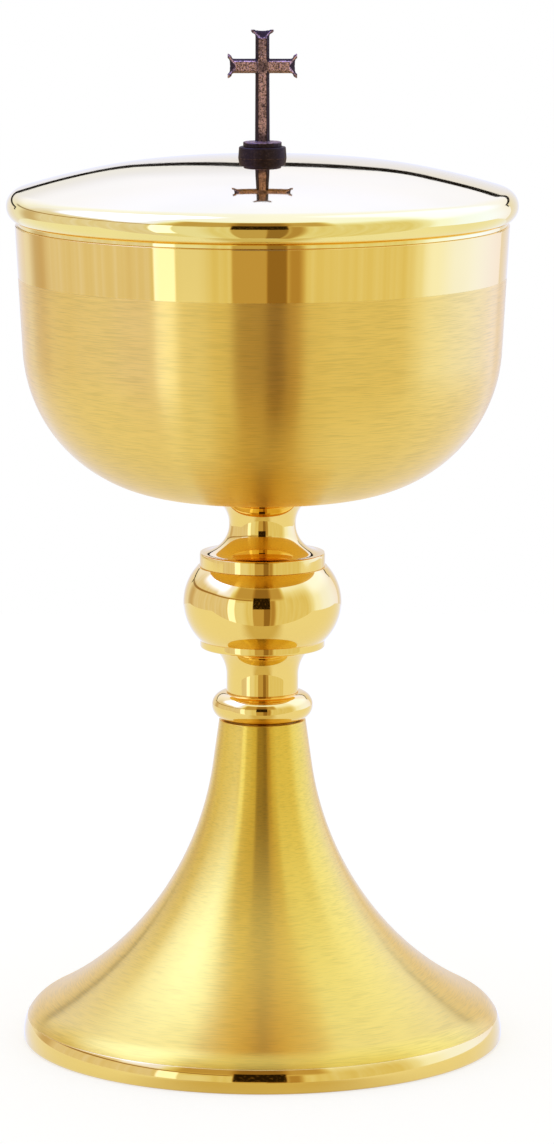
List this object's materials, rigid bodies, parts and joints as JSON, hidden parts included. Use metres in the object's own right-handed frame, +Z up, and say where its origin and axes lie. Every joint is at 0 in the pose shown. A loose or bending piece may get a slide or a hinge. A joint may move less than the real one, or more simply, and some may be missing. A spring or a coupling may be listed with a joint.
{
  "type": "ciborium",
  "caption": "Covered cup on a flared foot with a bead, knop and necks on its stem, and a domed lift-off lid that carries a small cast cross.",
  "frame": {"origin": "centre of the foot's rest plane, on the turning axis", "axes": "+Z up along the turning axis towards the cross; the cross faces -Y and its arms lie along X"},
  "size_m": [0.125, 0.125, 0.2506],
  "materials": {
    "polished_gold": "brass, turned or spun, polished and gold plated to a mirror",
    "satin_gold": "brass, spun, brushed round the axis to a satin and gold plated; the top band of the cup is left polished",
    "antique_bronze": "cast bronze, darkened, with worn lighter high faces",
    "steel": "plain zinc-plated steel rod, nuts and washers"
  },
  "bodies": {
    "vessel": {"foot_shell": "satin_gold", "foot_rim_ring": "polished_gold", "stem_ring": "polished_gold", "lower_neck": "polished_gold", "knop_plate": "polished_gold", "knop": "polished_gold", "upper_neck": "polished_gold", "cup_boss": "polished_gold", "tie_rod": "steel", "foot_washer": "steel", "foot_lock_washer": "steel", "foot_nut": "steel", "cup": "satin_gold"},
    "lid": {"lid_dome": "polished_gold", "lid_locating_ring": "polished_gold", "finial_collar": "antique_bronze", "finial_cross": "antique_bronze", "lid_washer": "steel", "lid_lock_washer": "steel", "lid_nut": "steel"}
  },
  "joints": [
    {"name": "lid_lift", "type": "slide", "parent": "vessel", "child": "lid", "axis": [0, 0, 1], "range_m": [0, 0.08]}
  ]
}
